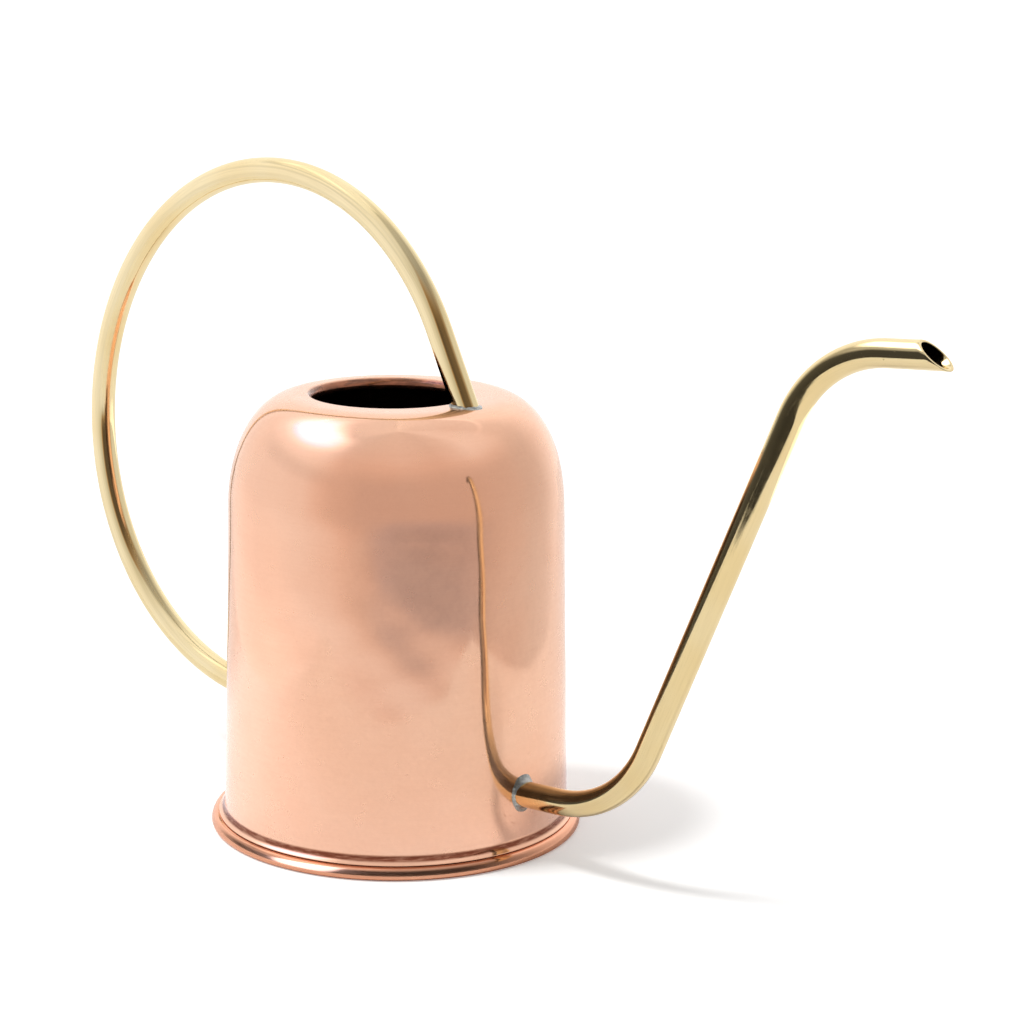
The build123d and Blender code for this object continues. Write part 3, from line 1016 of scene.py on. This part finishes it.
def make_dome(name, radius, level, tints, only):
    """Invisible dome that adds light to some pieces only, where the room is darker than level.

    tints are its colours from the dark levels to the brightest.
    """
    dark, warm, cool, lit = tints
    rings, count = 17, 48
    points = [(0, 0, -radius), (0, 0, radius)]
    for i in range(1, rings):
        e = math.pi * (i / rings - 0.5)
        points += [(radius * math.cos(e) * math.cos(2 * math.pi * k / count),
                    radius * math.cos(e) * math.sin(2 * math.pi * k / count), radius * math.sin(e))
                   for k in range(count)]
    faces = []
    for k in range(count):
        a, b = 2 + k, 2 + (k + 1) % count
        top = (rings - 2) * count
        faces += [(0, b, a), (1, top + a, top + b)]
        faces += [(i + a, i + b, i + count + b, i + count + a) for i in range(0, top, count)]
    dome = in_scene(name, new_mesh(name, points, faces))
    material, nodes, strength, colour = glow_material(name)
    view = StudioView(nodes, nodes.vector("NORMALIZE", nodes.add("ShaderNodeTexCoord").outputs["Object"]))
    wanted = level(view)
    extra = nodes.math("MAXIMUM", nodes.minus(wanted, room_level(view)), 0.0)
    tint = nodes.mix(nodes.remap(wanted, 0.50, 0.62), dark, warm)
    tint = nodes.mix(nodes.remap(wanted, 0.70, 1.0), tint, cool)
    nodes.link(nodes.mix(nodes.remap(wanted, 1.4, 2.0), tint, lit), colour)
    # only in what the piece mirrors directly: the photograph keeps dark places between two pieces
    first_bounce = nodes.math("LESS_THAN", nodes.add("ShaderNodeLightPath").outputs["Ray Depth"], 1.5)
    nodes.link(nodes.times(extra, first_bounce), strength)
    dome.data.materials.append(material)
    dome.visible_camera = dome.visible_shadow = False
    light_only(dome, only)


def plate(name, corners, height):
    """Flat sheet, corners in millimetres to the picture's right and away, height in metres."""
    points = [studio(x, y, 0) * MM + Vector((0, 0, height)) for x, y in corners]
    floor = in_scene(name, new_mesh(name, points, [tuple(range(len(corners)))]))
    return floor


def paper_material(name, albedo, glow):
    """Matt white paper that can glow a little, to even out the floor."""
    material, nodes, shader = new_material(name)
    fibre = nodes.noise(place(nodes), 0.8, 3.0, 0.6)
    colour = nodes.mix(nodes.remap(fibre, 0.3, 0.7), scaled((1.0, 1.0, 0.995), albedo),
                       scaled((0.985, 0.985, 0.98), albedo))
    dress(nodes, shader, colour, 0.9, 0.0, nodes.bump(fibre, 0.00005, 0.2))
    for name, value in (("Specular IOR Level", 0.1), ("Emission Color", (1, 1, 1, 1)),
                        ("Emission Strength", glow)):
        shader.inputs[name].default_value = value
    return material


def make_floor():
    """A wide floor for the camera, and the studio table that the metal mirrors."""
    far = 9000
    wide = plate("floor", [(-far, -far), (far, -far), (far, far), (-far, far)], 0.0)
    wide.visible_glossy = wide.visible_diffuse = wide.visible_shadow = False
    wide.data.materials.append(paper_material("paper", 0.92, 0.28))
    right_side = [(262, -240), (262, 110), (272, 200), (295, 265), (420, 500), (700, 900)]
    edge = [(-235, -240), *right_side, (-600, 900), (-235, 260)]
    table = plate("table", edge, -0.00004)
    table.data.materials.append(paper_material("table_paper", 0.84, 0.0))
    # the copper's side sees a brighter table than the tubes do
    shine = plate("table_shine", edge, -0.00002)
    material, nodes, strength, colour = glow_material("table_shine")
    where = nodes.add("ShaderNodeTexCoord").outputs["Object"]
    nearness = nodes.vector("DOT_PRODUCT", where, tuple(toward_camera))
    glow = nodes.remap(nearness, -0.02, 0.17, 0.34, 0.05)
    sideways = nodes.vector("DOT_PRODUCT", where, tuple(to_the_right))
    clear_of_shadow = nodes.remap(sideways, 0.04, 0.11, 1.0, 0.1)
    far_fade = nodes.remap(nearness, -0.17, -0.08)
    nodes.link(nodes.times(glow, nodes.times(far_fade, clear_of_shadow)), strength)
    colour.default_value = (0.85, 0.97, 1.25, 1.0)
    shine.data.materials.append(material)
    light_only(shine, [body])
    # and the tubes see it go on to the right
    beyond = [(262, -240), (320, -240), (420, -60), (900, 900)]
    wing = plate("table_wing", beyond + right_side[:0:-1], -0.00004)
    material, _, strength, _ = glow_material("table_wing")
    strength.default_value = 0.85
    wing.data.materials.append(material)
    light_only(wing, [base, spout, handle])
    for mirrored in (table, shine, wing):
        mirrored.visible_camera = mirrored.visible_shadow = False
    return [wide, table]


def light_only(light, pieces):
    """Lets a lamp or a glowing sheet light these pieces and nothing else."""
    group = bpy.data.collections.new("lit_by_" + light.name)
    for piece in pieces:
        group.objects.link(piece)
    light.light_linking.receiver_collection = group


def make_floor_sun(azimuth, elevation, spread, strength, only):
    """Distant lamp that gives the floor its soft shadow."""
    data = bpy.data.lights.new("floor_sun", "SUN")
    data.angle, data.energy = math.radians(spread), strength
    sun = in_scene("floor_sun", data)
    sun.rotation_mode = "QUATERNION"
    sun.rotation_quaternion = (-heading(azimuth, elevation)).to_track_quat("-Z", "Y")
    light_only(sun, only)


make_camera()
make_world()
make_floor_sun(azimuth=-84, elevation=64, spread=13, strength=1.9, only=make_floor())
WHITE = (1.0, 1.0, 1.0)
# each dome has its own radius, because surfaces in the same place hide one another
make_dome("body_dome", 3.0, shell_level,
          ((1.0, 0.92, 0.99), (1.12, 0.95, 0.88), (1.0, 1.0, 1.03), (0.8, 0.82, 1.55)), [body])
make_dome("handle_dome", 3.4, handle_level,
          ((1.0, 0.62, 0.28), WHITE, (1.0, 1.02, 1.12), (1.0, 1.02, 1.12)), [handle])
make_dome("foot_dome", 3.8, foot_level, [(0.95, 1.2, 1.7)] * 4, [base])
make_dome("spout_dome", 4.2, spout_level, [WHITE] * 4, [spout])
bpy.context.scene.view_settings.view_transform = "Standard"
bpy.context.scene.view_settings.look = "None"
